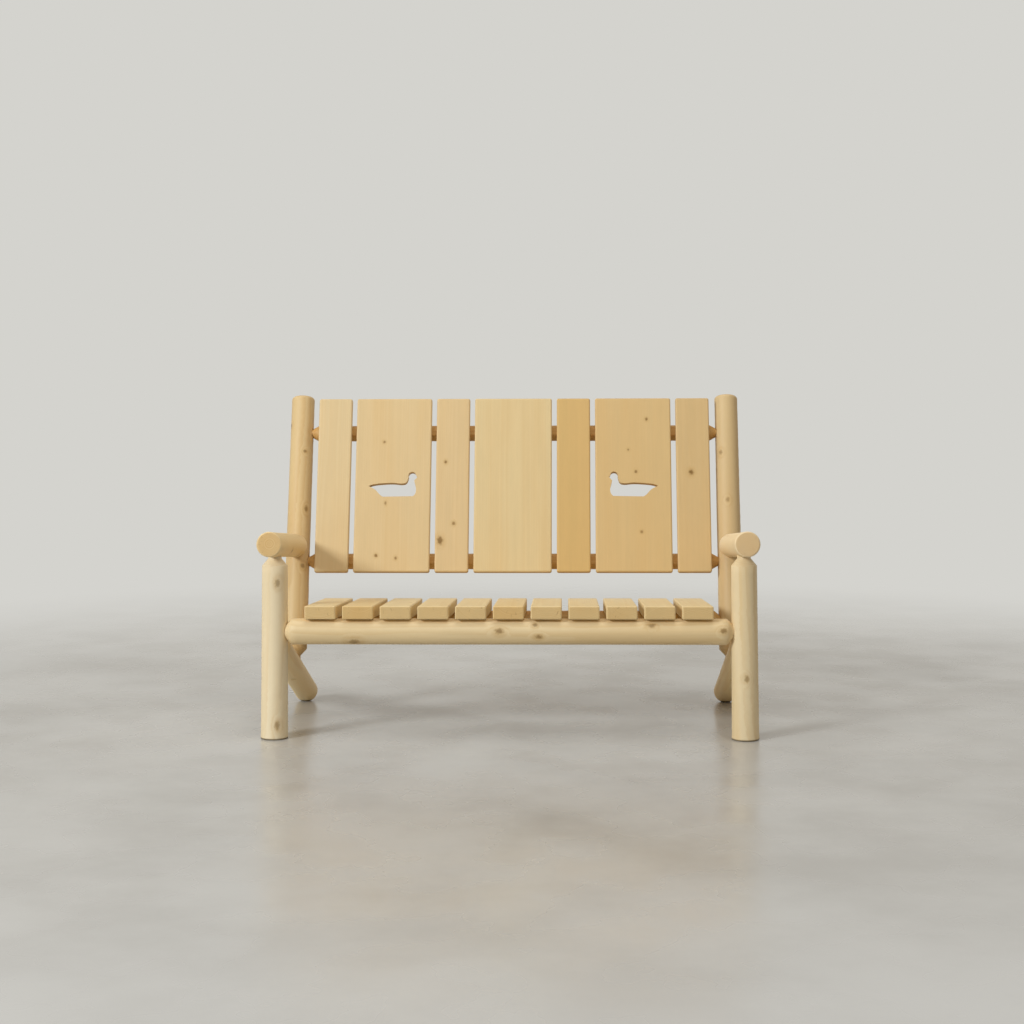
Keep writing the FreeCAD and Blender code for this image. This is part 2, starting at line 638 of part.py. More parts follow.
def build():
    """Every piece by its name, in place."""
    pieces = {}
    frame = {"front_leg": front_leg(), "arm": arm(), "side_rail": side_rail(), "back_post": back_post()}
    for name, shape in frame.items():
        pieces[name + "_right"] = shape
        pieces[name + "_left"] = mirrored(shape)

    pieces["front_seat_rail"] = seat_rail(FRONT_RAIL_TIP, FRONT_RAIL_CENTRE, FRONT_RAIL_TENON_LENGTH)
    rear = seat_rail(REAR_RAIL_TIP, REAR_RAIL_CENTRE, REAR_RAIL_TENON_LENGTH)
    rear_tenon_screws = [tenon_screw(POST_AT_SEAT_RAIL, TENON)]
    pieces["rear_seat_rail"] = rear.cut(both_sides([screw_hole(*place) for place in rear_tenon_screws]))
    pieces["lower_back_rail"] = back_rail(POST_AT_LOWER_RAIL)
    pieces["upper_back_rail"] = back_rail(POST_AT_UPPER_RAIL)

    seat_places = seat_screws(FRONT_RAIL_CENTRE) + seat_screws(REAR_RAIL_CENTRE)
    seat_tools = [screw_hole(*place) for place in seat_places]
    for number, middle in enumerate(seat_slat_places(), 1):
        near = [t for t, p in zip(seat_tools, seat_places) if abs(p[0].x - middle) < SEAT_SLAT_WIDTH / 2]
        pieces[f"seat_slat_{number:02d}"] = seat_slat(middle).cut(near)

    back_places = back_screws(POST_AT_LOWER_RAIL) + back_screws(POST_AT_UPPER_RAIL)
    back_tools = [screw_hole(*place) for place in back_places]
    for number, (middle, width) in enumerate(back_slat_places(), 1):
        near = [t for t, p in zip(back_tools, back_places) if abs(p[0].x - middle) < width / 2]
        pieces[f"back_slat_{number}"] = back_slat(middle, width).cut(near)

    small = [tenon_screw(d, SMALL_TENON) for d in (POST_AT_LOWER_RAIL, POST_AT_UPPER_RAIL)]
    groups = {
        "seat_slat_screws": [screw(*place[:4]) for place in seat_places],
        "back_slat_screws": [screw(*place[:4]) for place in back_places],
        "rail_tenon_screws": both_sides([screw(*place[:4]) for place in small + rear_tenon_screws]),
        "arm_lag_screws": both_sides([screw(*arm_lag()[:4])]),
        "post_lag_screws": both_sides([screw(*post_lag()[:4])]),
    }
    for name, solids in groups.items():
        pieces[name] = Part.makeCompound(solids)
    return pieces


def depth_middle(pieces):
    """Middle of the bench from front to back, between the arms' ends and the side rails' ends."""
    front = pieces["arm_right"].optimalBoundingBox(False)
    rear = pieces["side_rail_right"].optimalBoundingBox(False)
    return (front.YMin + rear.YMax) / 2


def main():
    os.makedirs("parts", exist_ok=True)
    pieces = build()
    shift = FreeCAD.Vector(0, -depth_middle(pieces), 0)
    for name, shape in pieces.items():
        shape.translate(shift)
        shape.exportStep(f"parts/{name}.step")
        print(name, len(shape.Solids), "solids", round(shape.Volume / 1000), "cm3", shape.isValid())
    print("front feet", LEG_LINE.start + shift)
    print("rear feet", SIDE_RAIL_LINE.point(SIDE_RAIL_LINE.length) + shift)


main()
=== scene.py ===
import math
import random

import bmesh
import bpy
from mathutils import Matrix, Vector, noise


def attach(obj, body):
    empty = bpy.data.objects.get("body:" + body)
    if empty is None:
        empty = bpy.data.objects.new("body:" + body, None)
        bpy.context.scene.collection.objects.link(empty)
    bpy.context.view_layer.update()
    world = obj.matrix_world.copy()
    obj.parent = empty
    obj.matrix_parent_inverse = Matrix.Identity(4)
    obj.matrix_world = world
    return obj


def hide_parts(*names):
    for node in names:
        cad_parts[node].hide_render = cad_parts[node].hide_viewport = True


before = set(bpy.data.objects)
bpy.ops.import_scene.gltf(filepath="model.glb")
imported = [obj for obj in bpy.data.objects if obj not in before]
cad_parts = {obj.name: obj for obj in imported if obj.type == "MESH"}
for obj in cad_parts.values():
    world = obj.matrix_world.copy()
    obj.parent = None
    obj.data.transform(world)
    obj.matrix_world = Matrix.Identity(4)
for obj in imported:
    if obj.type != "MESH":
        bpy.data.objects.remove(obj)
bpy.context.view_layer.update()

# Looks of the rustic log bench, in metres: X runs along the seat, Y from front to back, Z up.

# Where the grain runs. A place is an origin, a direction along the grain and a facing.

SIDES = {"left": -1, "right": 1}
LEG_FOOT = Vector((0.6715, -0.2664, 0))
LEG_RUN = Vector((-0.01443, 0, 0.9999))
ARM_FRONT = Vector((0.6635, -0.37096, 0.56402))
ARM_RUN = Vector((0, 0.99588, -0.09063))
SIDE_RAIL_TOP = Vector((0.66746, -0.2664, 0.28))
SIDE_RAIL_RUN = Vector((0.00597, 0.92912, -0.36974))
POST_FOOT = Vector((0.6635, 0.0556, 0.15186))
POST_RUN = Vector((0, 0.30071, 0.95372))
FRONT_RAIL = Vector((0, -0.2664, 0.307))
REAR_RAIL = Vector((0, 0.0975, 0.28474))
LOWER_BACK_RAIL = Vector((0, 0.15494, 0.4669))
UPPER_BACK_RAIL = Vector((0, 0.27805, 0.85735))

# Radius of each log at the start of its line, and how much it grows per metre
LEG_RADIUS = 0.039
LEG_TAPER = -0.00541
ARM_RADIUS = 0.0355
SIDE_RAIL_RADIUS = 0.0365
POST_RADIUS = 0.0375
POST_TAPER = -0.002332
SEAT_RAIL_RADIUS = 0.0375
BACK_RAIL_RADIUS = 0.0245

# Planed flats of the seat rails and back rails, from the rail's middle
SEAT_PLANE = 0.0367
BACK_PLANE = 0.021

SEAT_FOOT = Vector((0, -0.26415, 0.34363))
SEAT_RUN = Vector((0, 0.99813, -0.06105))
SEAT_FACING = Vector((0, 0.06105, 0.99813))
SEAT_SLAT_PITCH = 0.10658
SEAT_SLAT_COUNT = 11

BACK_FOOT = Vector((0, 0.1224, 0.43354))
BACK_RUN = POST_RUN
BACK_FACING = Vector((0, -0.95372, 0.30071))
BACK_SLAT_MIDDLES = (-0.55469, -0.37069, -0.18669, 0, 0.18669, 0.37069, 0.55469)

ACROSS = Vector((1, 0, 0))
UP = Vector((0, 0, 1))
FRONT = Vector((0, -1, 0))

# Knots on the boards: across and up from the slat's foot, radius, length over width, and how dark
BACK_KNOTS = {
    2: (
        (-0.0292, 0.4118, 0.0042, 1.1, 0.75),
        (-0.0219, 0.2166, 0.0036, 1.8, 0.65),
        (-0.0471, 0.0512, 0.0048, 1.1, 0.9),
        (0.0134, 0.0434, 0.0040, 1.2, 0.8),
    ),
    3: (
        (-0.0214, 0.3471, 0.0044, 1.2, 0.9),
        (0.0055, 0.1519, 0.0054, 1.1, 0.75),
        (-0.0357, 0.0975, 0.0090, 1.5, 0.9),
    ),
    6: (
        (0.0424, 0.4832, 0.0044, 1.2, 0.85),
        (-0.0149, 0.3858, 0.0036, 1.1, 0.65),
        (0.0084, 0.3154, 0.0046, 1.2, 0.8),
        (0.0235, 0.1251, 0.0044, 1.1, 0.75),
    ),
    7: (
        (-0.0065, 0.3138, 0.0078, 1.2, 0.95),
    ),
}
# Knots on the logs: along the log, direction they grow in, radius, length over width, and how dark
LOG_KNOTS = {
    "back_post_left": (
        (0.6746, (0.427, -0.863, 0.272), 0.0052, 1.1, 0.7),
        (0.4914, (0.659, -0.717, 0.226), 0.0065, 1.5, 0.7),
        (0.3104, (0.54, -0.802, 0.253), 0.0070, 1.2, 0.7),
        (0.7612, (-0.93, -0.35, 0.11), 0.0060, 1.3, 0.65),
    ),
    "back_post_right": (
        (0.6692, (-0.631, -0.74, 0.233), 0.0062, 1.4, 0.6),
        (0.5164, (-0.131, -0.946, 0.298), 0.0062, 1.3, 0.5),
    ),
    "front_leg_left": (
        (0.4492, (0.349, -0.937, -0.005), 0.0078, 1.5, 0.55),
        (0.0429, (0.358, -0.934, -0.005), 0.0078, 1.7, 0.6),
    ),
    "front_leg_right": (
        (0.1787, (0.022, -1.0, 0.0), 0.0072, 1.3, 0.6),
    ),
    "front_seat_rail": (
        (-0.4377, (0.0, -0.703, -0.711), 0.0100, 1.6, 0.65),
        (-0.0263, (0.0, -0.984, 0.176), 0.0084, 1.5, 0.75),
        (0.075, (0.0, -0.795, 0.607), 0.0056, 1.2, 0.6),
        (0.0849, (0.0, -0.961, -0.278), 0.0066, 1.5, 0.7),
        (0.4042, (0.0, -0.814, 0.581), 0.0070, 1.5, 0.65),
        (0.6042, (0.0, -0.981, 0.194), 0.0074, 1.2, 0.7),
    ),
}


# Colours


def linear(red, green, blue):
    """Colour given as it looks on a screen, from 0 to 255, as Blender's linear one."""
    shares = [c / 255 for c in (red, green, blue)]
    return tuple(s / 12.92 if s <= 0.04045 else ((s + 0.055) / 1.055) ** 2.4 for s in shares) + (1,)


# Early and late wood of the boards and logs. A table by side is for the left and right log of a pair; where
# the two differ, the difference is painted light and shade, for how each side was lit.
SEAT_EARLY = linear(232, 209, 159)
SEAT_LATE = linear(216, 183, 124)
SEAT_WARM_EARLY = linear(230, 203, 148)
SEAT_WARM_LATE = linear(213, 175, 112)
LATE_WOOD = linear(206, 168, 110)
RAIL_EARLY = linear(232, 209, 165)
RAIL_LATE = linear(215, 182, 127)
LEG_TONES = {
    "left": (linear(238, 221, 186), linear(225, 197, 148)),
    "right": (linear(234, 214, 174), linear(219, 188, 132)),
}
# Painted light and shade: the left arm is darker and more orange for its shaded side, the right arm paler
# for its lit side
ARM_TONES_LIT_AND_SHADED = {
    "left": (linear(236, 210, 160), linear(218, 181, 118)),
    "right": (linear(241, 219, 178), linear(226, 193, 140)),
}
# Painted bounce light: the side rails are paler and warmer than the other logs, standing in for light from
# the floor on their lower sides
SIDE_RAIL_TONES_PAINTED_BOUNCE = {
    "left": (linear(248, 224, 175), linear(237, 202, 140)),
    "right": (linear(246, 218, 165), linear(234, 194, 128)),
}
POST_TONES = {
    "left": (linear(219, 190, 139), linear(202, 162, 103)),
    "right": (linear(214, 187, 139), linear(198, 160, 106)),
}
# Darker, more orange wood of the rear seat rail and back rails: painted shade for the shade under the seat
# slats and behind the back slats
POLE_EARLY_PAINTED_SHADE = linear(207, 166, 102)
POLE_LATE_PAINTED_SHADE = linear(183, 131, 69)
KNOT_HEART = linear(160, 127, 76)
KNOT_RIM = linear(128, 97, 51)
KNOT_HALO = linear(196, 157, 97)
END_GRAIN = linear(212, 184, 136)
CHECK_DARK = linear(132, 96, 54)
STEEL = linear(188, 186, 180)
STEEL_DULL = linear(142, 139, 132)
# Painted contact shadow colour for the lowest millimetres of the feet
FOOT_PAINTED_SHADE = linear(96, 80, 58)
FLOOR_PALE = linear(193, 191, 185)
FLOOR_DARK = linear(177, 174, 167)
BACKDROP = linear(212, 211, 206)

# Tone of each back slat, by its number
BOARD_TONES = {
    1: linear(221, 196, 150),
    2: linear(220, 193, 145),
    3: linear(219, 191, 143),
    4: linear(221, 197, 148),
    5: linear(211, 176, 114),
    6: linear(214, 183, 129),
    7: linear(212, 181, 129),
}


# Node graphs

# Colour sockets of the mix node, by number
MIX_FIRST = 6
MIX_SECOND = 7
MIX_RESULT = 2


class Graph:
    """Short ways to add nodes to a tree. Each gives back the socket that holds its result."""

    def __init__(self, tree):
        self.tree = tree

    def node(self, kind, inputs=None, **settings):
        made = self.tree.nodes.new(kind)
        for name, value in settings.items():
            setattr(made, name, value)
        for name, value in (inputs or {}).items():
            self.feed(made.inputs[name], value)
        return made

    def feed(self, socket, value):
        if isinstance(value, bpy.types.NodeSocket):
            self.tree.links.new(value, socket)
        else:
            socket.default_value = value

    def maths(self, operation, *values, use_clamp=False):
        inputs = dict(enumerate(values))
        return self.node("ShaderNodeMath", inputs, operation=operation, use_clamp=use_clamp).outputs[0]

    def vector(self, operation, *values):
        made = self.node("ShaderNodeVectorMath", dict(enumerate(values)), operation=operation)
        return made.outputs["Value" if operation in ("LENGTH", "DOT_PRODUCT") else "Vector"]

    def scaled(self, vector, factor):
        return self.node("ShaderNodeVectorMath", {0: vector, "Scale": factor}, operation="SCALE").outputs[0]

    def mix(self, factor, first, second, blend_type="MIX"):
        made = self.node("ShaderNodeMix", data_type="RGBA", blend_type=blend_type)
        self.feed(made.inputs[0], factor)
        self.feed(made.inputs[MIX_FIRST], first)
        self.feed(made.inputs[MIX_SECOND], second)
        return made.outputs[MIX_RESULT]

    def ramp(self, value, start, stop, low=0, high=1):
        """Smooth step of a value from start to stop, as low to high."""
        inputs = {"Value": value, "From Min": start, "From Max": stop, "To Min": low, "To Max": high}
        return self.node("ShaderNodeMapRange", inputs, interpolation_type="SMOOTHSTEP").outputs[0]

    def noise(self, vector, scale, detail=2, roughness=0.5, colour=False):
        inputs = {"Vector": vector, "Scale": scale, "Detail": detail, "Roughness": roughness}
        return self.node("ShaderNodeTexNoise", inputs).outputs["Color" if colour else "Fac"]

    def swing(self, value, size):
        """A value from 0 to 1, as a swing either side of nothing."""
        return self.maths("MULTIPLY", self.maths("SUBTRACT", value, 0.5), size)


def node_group(name, inputs, outputs):
    """New group of nodes, with its input sockets by name and its output node."""
    tree = bpy.data.node_groups.new(name, "ShaderNodeTree")
    for direction, sockets in (("INPUT", inputs), ("OUTPUT", outputs)):
        for title, kind in sockets.items():
            tree.interface.new_socket(title, in_out=direction, socket_type="NodeSocket" + kind)
    graph = Graph(tree)
    given = graph.node("NodeGroupInput").outputs
    return graph, given, graph.node("NodeGroupOutput").inputs


# Noise that makes a knot's edge uneven. Its swing, and a distance beyond any knot, are in knot radii
KNOT_WOBBLE_SCALE = 130
KNOT_WOBBLE = 1.3
FAR_FROM_KNOTS = 50


def knot_group():
    """Distance to the nearest knot in knot radii and how dark it is, given those of the knots before it."""
    graph, given, result = node_group(
        "nearest_knot",
        {"Place": "Vector", "Centre": "Vector", "Growth": "Vector", "Radius": "Float", "Length": "Float",
         "Depth": "Float", "Dark": "Float", "Before": "Float", "Dark Before": "Float"},
        {"Knot": "Float", "Dark": "Float"},
    )
    gap = graph.vector("SUBTRACT", given["Place"], given["Centre"])
    depth = graph.vector("DOT_PRODUCT", gap, given["Growth"])
    flat = graph.vector("SUBTRACT", gap, graph.scaled(given["Growth"], depth))
    parts = graph.node("ShaderNodeSeparateXYZ", {0: flat}).outputs
    squeezed = graph.maths("DIVIDE", parts["Z"], given["Length"])
    squashed_parts = {"X": parts["X"], "Y": parts["Y"], "Z": squeezed}
    squashed = graph.node("ShaderNodeCombineXYZ", squashed_parts).outputs[0]
    wobble = graph.swing(graph.noise(given["Place"], KNOT_WOBBLE_SCALE, 3, 0.6), KNOT_WOBBLE)
    distance = graph.maths("DIVIDE", graph.vector("LENGTH", squashed), given["Radius"])
    beyond = graph.maths("LESS_THAN", depth, graph.maths("MULTIPLY", given["Depth"], -1))
    far = graph.maths("MULTIPLY", beyond, FAR_FROM_KNOTS)
    total = graph.maths("ADD", graph.maths("ADD", distance, wobble), far)
    nearer = graph.maths("LESS_THAN", total, given["Before"])
    change = graph.maths("SUBTRACT", given["Dark"], given["Dark Before"])
    graph.feed(result["Knot"], graph.maths("MINIMUM", total, given["Before"]))
    change_here = graph.maths("MULTIPLY", nearer, change)
    graph.feed(result["Dark"], graph.maths("ADD", given["Dark Before"], change_here))
    return graph.tree


# A year's width, the drift of the grain and its swell at a knot, in metres
RING_WIDTH = 0.0033
GRAIN_DRIFT = 0.012
KNOT_SWELL = 0.0035

# How the years vary in width, and where in a year the late wood comes and ends
YEAR_NOISE_SCALE = 0.23
YEAR_SPREAD = 4
LATE_RISE = (0.15, 0.9)
LATE_FALL = (1.0, 0.9)

# Fineness of each noise, across the grain twice and along it
DRIFT_FINENESS = (7, 7, 0.9)
STREAK_FINENESS = (90, 90, 2.2)
FIBRE_FINENESS = (950, 950, 26)
BROAD_FINENESS = (13, 13, 1.2)
PATCH_FINENESS = (26, 26, 9)

# How far each noise swings the wood's brightness, and where it brings the late wood's colour
BROAD_SWING = 0.14
STREAK_SWING = 0.1
FIBRE_SWING = 0.07
PATCH_SWING = 0.07
WARM_RANGE = (0.42, 0.72)
WARM_SHARE = 0.3

# Ramps of the streaks, from a low and high value to a low and high share
RING_STREAKS = (0.25, 0.75, 0.35, 1)
HALO_STREAKS = (0.3, 0.6, 0.4, 1)

# End grain: stronger rings, a tint, and small checks that run out from the pith
END_RING_SHARE = 0.35
END_TINT_SHARE = 0.4
END_ROUGHER = 0.16
CHECKS_ROUND = 5
CHECKS_OUT = 14
CHECK_SCALE = 3.2
CHECK_RANGE = (0.66, 0.74)
CHECK_SHARE = 0.45

# Knots: reach of the grain's swell, halo, heart and rim, from outside in, in knot radii
SWELL_REACH = (3.4, 0.8)
HALO_REACH = (2.8, 0.9)
HALO_SHARE = 0.45
HEART_REACH = (1.4, 0.5)
RIM_REACH = (1.0, 0.2)
KNOT_RING_RATE = 14
KNOT_RING_SHARE = 0.12
HEART_SMOOTHER = 0.08

# Roughness of the wood, and how far the noises swing it
WOOD_ROUGHNESS = 0.5
FIBRE_ROUGHNESS_SWING = 0.16
BROAD_ROUGHNESS_SWING = 0.12

# Relief of the wood: share of each feature in the height, and the groove round a knot, in knot radii
FIBRE_RELIEF = 0.5
LATE_RELIEF = 0.18
STREAK_RELIEF = 0.4
CHECK_RELIEF = 0.9
GROOVE_INNER = (0.75, 1.05)
GROOVE_OUTER = (1.3, 1.05)


def wood_group():
    """Sawn or peeled softwood: growth rings about the pith, fibres along Z, knots and end grain."""
    graph, given, result = node_group(
        "softwood",
        {"Place": "Vector", "Seed": "Vector", "Pith": "Vector", "End": "Float", "Knot": "Float",
         "Dark": "Float", "Early": "Color", "Late": "Color", "Contrast": "Float"},
        {"Colour": "Color", "Roughness": "Float", "Height": "Float"},
    )
    place, knot, end = given["Place"], given["Knot"], given["End"]
    seeded = graph.vector("ADD", place, given["Seed"])

    drift = graph.noise(graph.vector("MULTIPLY", seeded, DRIFT_FINENESS), 1, 2, 0.5, True)
    drift = graph.vector("SUBTRACT", drift, (0.5, 0.5, 0.5))
    wandering = graph.vector("ADD", place, graph.scaled(drift, GRAIN_DRIFT))
    from_pith = graph.vector("MULTIPLY", graph.vector("SUBTRACT", wandering, given["Pith"]), (1, 1, 0))
    near_knot = graph.ramp(knot, *SWELL_REACH)
    swell = graph.maths("MULTIPLY", near_knot, KNOT_SWELL)
    out = graph.maths("ADD", graph.vector("LENGTH", from_pith), swell)
    years = graph.maths("DIVIDE", out, RING_WIDTH)
    year_place = graph.node("ShaderNodeCombineXYZ", {"X": years}).outputs[0]
    slow_years = graph.noise(graph.vector("ADD", year_place, given["Seed"]), YEAR_NOISE_SCALE, 1)
    count = graph.maths("ADD", years, graph.maths("MULTIPLY", slow_years, YEAR_SPREAD))
    season = graph.maths("FRACT", count)
    late = graph.maths("MULTIPLY", graph.ramp(season, *LATE_RISE), graph.ramp(season, *LATE_FALL))

    streak = graph.noise(graph.vector("MULTIPLY", seeded, STREAK_FINENESS), 1, 3, 0.55)
    fibre = graph.noise(graph.vector("MULTIPLY", seeded, FIBRE_FINENESS), 1, 2, 0.6)
    broad = graph.noise(graph.vector("MULTIPLY", seeded, BROAD_FINENESS), 1, 2, 0.5)
    patch = graph.noise(graph.vector("MULTIPLY", seeded, PATCH_FINENESS), 1, 3, 0.6)

    contrast = graph.maths("MULTIPLY", given["Contrast"], graph.ramp(streak, *RING_STREAKS))
    ring_tone = graph.maths("ADD", contrast, graph.maths("MULTIPLY", end, END_RING_SHARE))
    ring_tone = graph.maths("MULTIPLY", late, ring_tone, use_clamp=True)
    colour = graph.mix(ring_tone, given["Early"], given["Late"])

    value = graph.maths("ADD", 1, graph.swing(broad, BROAD_SWING))
    value = graph.maths("ADD", value, graph.swing(streak, STREAK_SWING))
    value = graph.maths("ADD", value, graph.swing(fibre, FIBRE_SWING))
    value = graph.maths("ADD", value, graph.swing(patch, PATCH_SWING))
    grey = graph.node("ShaderNodeCombineColor", {0: value, 1: value, 2: value}).outputs[0]
    colour = graph.mix(1, colour, grey, "MULTIPLY")
    warm = graph.ramp(broad, *WARM_RANGE)
    colour = graph.mix(graph.maths("MULTIPLY", warm, WARM_SHARE), colour, given["Late"])

    parts = graph.node("ShaderNodeSeparateXYZ", {0: from_pith}).outputs
    turn = graph.maths("ARCTAN2", parts["Y"], parts["X"])
    around = graph.maths("MULTIPLY", turn, CHECKS_ROUND)
    outward = graph.maths("MULTIPLY", out, CHECKS_OUT)
    ray_inputs = {"X": around, "Y": outward}
    ray_place = graph.node("ShaderNodeCombineXYZ", ray_inputs).outputs[0]
    ray = graph.noise(graph.vector("ADD", ray_place, given["Seed"]), CHECK_SCALE, 2, 0.6)
    check = graph.maths("MULTIPLY", graph.ramp(ray, *CHECK_RANGE), end)
    colour = graph.mix(graph.maths("MULTIPLY", end, END_TINT_SHARE), colour, END_GRAIN, "MULTIPLY")
    colour = graph.mix(graph.maths("MULTIPLY", check, CHECK_SHARE), colour, CHECK_DARK)

    dark = given["Dark"]
    halo = graph.maths("MULTIPLY", graph.ramp(knot, *HALO_REACH), graph.maths("MULTIPLY", dark, HALO_SHARE))
    halo = graph.maths("MULTIPLY", halo, graph.ramp(streak, *HALO_STREAKS))
    heart = graph.maths("MULTIPLY", graph.ramp(knot, *HEART_REACH), dark)
    wave = graph.maths("SINE", graph.maths("MULTIPLY", knot, KNOT_RING_RATE))
    rings = graph.maths("MULTIPLY", wave, KNOT_RING_SHARE)
    rim = graph.maths("ADD", graph.ramp(knot, *RIM_REACH), rings, use_clamp=True)
    colour = graph.mix(halo, colour, KNOT_HALO)
    colour = graph.mix(heart, colour, graph.mix(rim, KNOT_HEART, KNOT_RIM))
    graph.feed(result["Colour"], colour)

    rough = graph.maths("ADD", WOOD_ROUGHNESS, graph.swing(fibre, FIBRE_ROUGHNESS_SWING))
    rough = graph.maths("ADD", rough, graph.swing(broad, BROAD_ROUGHNESS_SWING))
    rough = graph.maths("ADD", rough, graph.maths("MULTIPLY", end, END_ROUGHER))
    rough = graph.maths("SUBTRACT", rough, graph.maths("MULTIPLY", heart, HEART_SMOOTHER))
    graph.feed(result["Roughness"], rough)

    fibres = graph.maths("MULTIPLY", fibre, FIBRE_RELIEF)
    height = graph.maths("ADD", fibres, graph.maths("MULTIPLY", late, LATE_RELIEF))
    height = graph.maths("ADD", height, graph.maths("MULTIPLY", streak, STREAK_RELIEF))
    height = graph.maths("SUBTRACT", height, graph.maths("MULTIPLY", check, CHECK_RELIEF))
    groove = graph.maths("MULTIPLY", graph.ramp(knot, *GROOVE_INNER), graph.ramp(knot, *GROOVE_OUTER))
    height = graph.maths("SUBTRACT", height, graph.maths("MULTIPLY", groove, dark))
    graph.feed(result["Height"], height)
    return graph.tree


KNOT_NODES = knot_group()
WOOD_NODES = wood_group()


def new_material(name):
    """Empty node material, with its graph and its shader."""
    material = bpy.data.materials.new(name)
    material.use_nodes = True
    graph = Graph(material.node_tree)
    shader = material.node_tree.nodes["Principled BSDF"]
    return material, graph, shader


class Place:
    """A piece's own axes: Z along the grain and Y the way it faces."""

    def __init__(self, origin, along, facing):
        z = along.normalized()
        x = facing.cross(z).normalized()
        self.origin = origin
        self.turn = Matrix((x, z.cross(x), z)).transposed()
        self.along = z

    def local(self, direction):
        return self.turn.transposed() @ Vector(direction)


# Painted contact shadow on the feet, which fades out between these heights above the floor
PAINTED_SHADE_FULL = 0.003
PAINTED_SHADE_TOP = 0.006
PAINTED_SHADE_SHARE = 0.8

# A face counts as end grain where its normal runs this far along the grain
END_FACING = (0.8, 0.97)

# How far apart the pieces lie in the noises, and their relief and gloss
SEED_SPREAD = 40
WOOD_BUMP = {"Strength": 0.5, "Distance": 0.0003}
WOOD_IOR = 1.45
WOOD_SPECULAR = 0.3


def wood_material(name, place, pith, early, late, contrast, knots, depth, seed):
    """Wood for one piece. Each knot: centre and growth in the piece's axes, radius, length, darkness."""
    material, graph, shader = new_material(name)
    coordinates = graph.node("ShaderNodeTexCoord").outputs
    mapping = graph.node("ShaderNodeMapping", {"Vector": coordinates["Object"]}, vector_type="TEXTURE")
    mapping.inputs["Location"].default_value = place.origin
    mapping.inputs["Rotation"].default_value = place.turn.to_euler()
    local = mapping.outputs[0]

    nearest, dark = FAR_FROM_KNOTS, 0
    for centre, growth, radius, length, strength in knots:
        group = graph.node("ShaderNodeGroup", node_tree=KNOT_NODES)
        values = {"Place": local, "Centre": centre, "Growth": growth, "Radius": radius, "Length": length,
                  "Depth": depth, "Dark": strength, "Before": nearest, "Dark Before": dark}
        for title, value in values.items():
            graph.feed(group.inputs[title], value)
        nearest, dark = group.outputs["Knot"], group.outputs["Dark"]

    facing_end = graph.maths("ABSOLUTE", graph.vector("DOT_PRODUCT", coordinates["Normal"], place.along))
    end = graph.ramp(facing_end, *END_FACING)
    chance = random.Random(seed)
    wood = graph.node("ShaderNodeGroup", node_tree=WOOD_NODES)
    spot = [chance.uniform(-SEED_SPREAD, SEED_SPREAD) for _ in range(3)]
    values = {"Place": local, "Seed": spot, "Pith": (*pith, 0), "End": end, "Knot": nearest, "Dark": dark,
              "Early": early, "Late": late, "Contrast": contrast}
    for title, value in values.items():
        graph.feed(wood.inputs[title], value)

    bump = graph.node("ShaderNodeBump", {"Height": wood.outputs["Height"], **WOOD_BUMP})
    # Painted contact shadow: every piece turns darker towards the floor over its lowest few millimetres
    height = graph.node("ShaderNodeSeparateXYZ", {0: coordinates["Object"]}).outputs["Z"]
    painted_shade = graph.ramp(height, PAINTED_SHADE_TOP, PAINTED_SHADE_FULL, 0, PAINTED_SHADE_SHARE)
    graph.feed(shader.inputs["Base Color"], graph.mix(painted_shade, wood.outputs["Colour"], FOOT_PAINTED_SHADE))
    graph.feed(shader.inputs["Roughness"], wood.outputs["Roughness"])
    graph.feed(shader.inputs["Normal"], bump.outputs[0])
    shader.inputs["IOR"].default_value = WOOD_IOR
    shader.inputs["Specular IOR Level"].default_value = WOOD_SPECULAR
    return material


STEEL_PATCH_SCALE = 700
STEEL_DULL_RANGE = (0.4, 0.7)
STEEL_ROUGH_RANGE = (0.3, 0.8)
STEEL_ROUGHNESS = (0.28, 0.5)
SCRATCH_FINENESS = (1, 1, 8)
SCRATCH_SCALE = 900
STEEL_BUMP = {"Strength": 0.3, "Distance": 0.0001}


def steel_material():
    """Bright zinc-plated steel, duller in patches."""
    material, graph, shader = new_material("screw_steel_finish")
    place = graph.node("ShaderNodeTexCoord").outputs["Object"]
    patches = graph.noise(place, STEEL_PATCH_SCALE, 3, 0.6)
    scratches = graph.noise(graph.vector("MULTIPLY", place, SCRATCH_FINENESS), SCRATCH_SCALE, 2, 0.6)
    dulled = graph.mix(graph.ramp(patches, *STEEL_DULL_RANGE), STEEL, STEEL_DULL)
    graph.feed(shader.inputs["Base Color"], dulled)
    graph.feed(shader.inputs["Roughness"], graph.ramp(patches, *STEEL_ROUGH_RANGE, *STEEL_ROUGHNESS))
    bump = graph.node("ShaderNodeBump", {"Height": scratches, **STEEL_BUMP})
    graph.feed(shader.inputs["Normal"], bump.outputs[0])
    shader.inputs["Metallic"].default_value = 1
    return material


# Grain of each piece


class Log:
    """A log's line, the way it faces, its radius at the line's start, and how fast that grows."""

    def __init__(self, name, start, run, facing, radius, taper=0, flat=None, tones=(RAIL_EARLY, RAIL_LATE)):
        self.name = name
        self.place = Place(start, run, facing)
        self.start_radius = radius
        self.taper = taper
        self.flat = flat
        self.early, self.late = tones

    def radius(self, along):
        return self.start_radius + self.taper * along


def mirrored(point, side):
    return Vector((point.x * side, point.y, point.z))


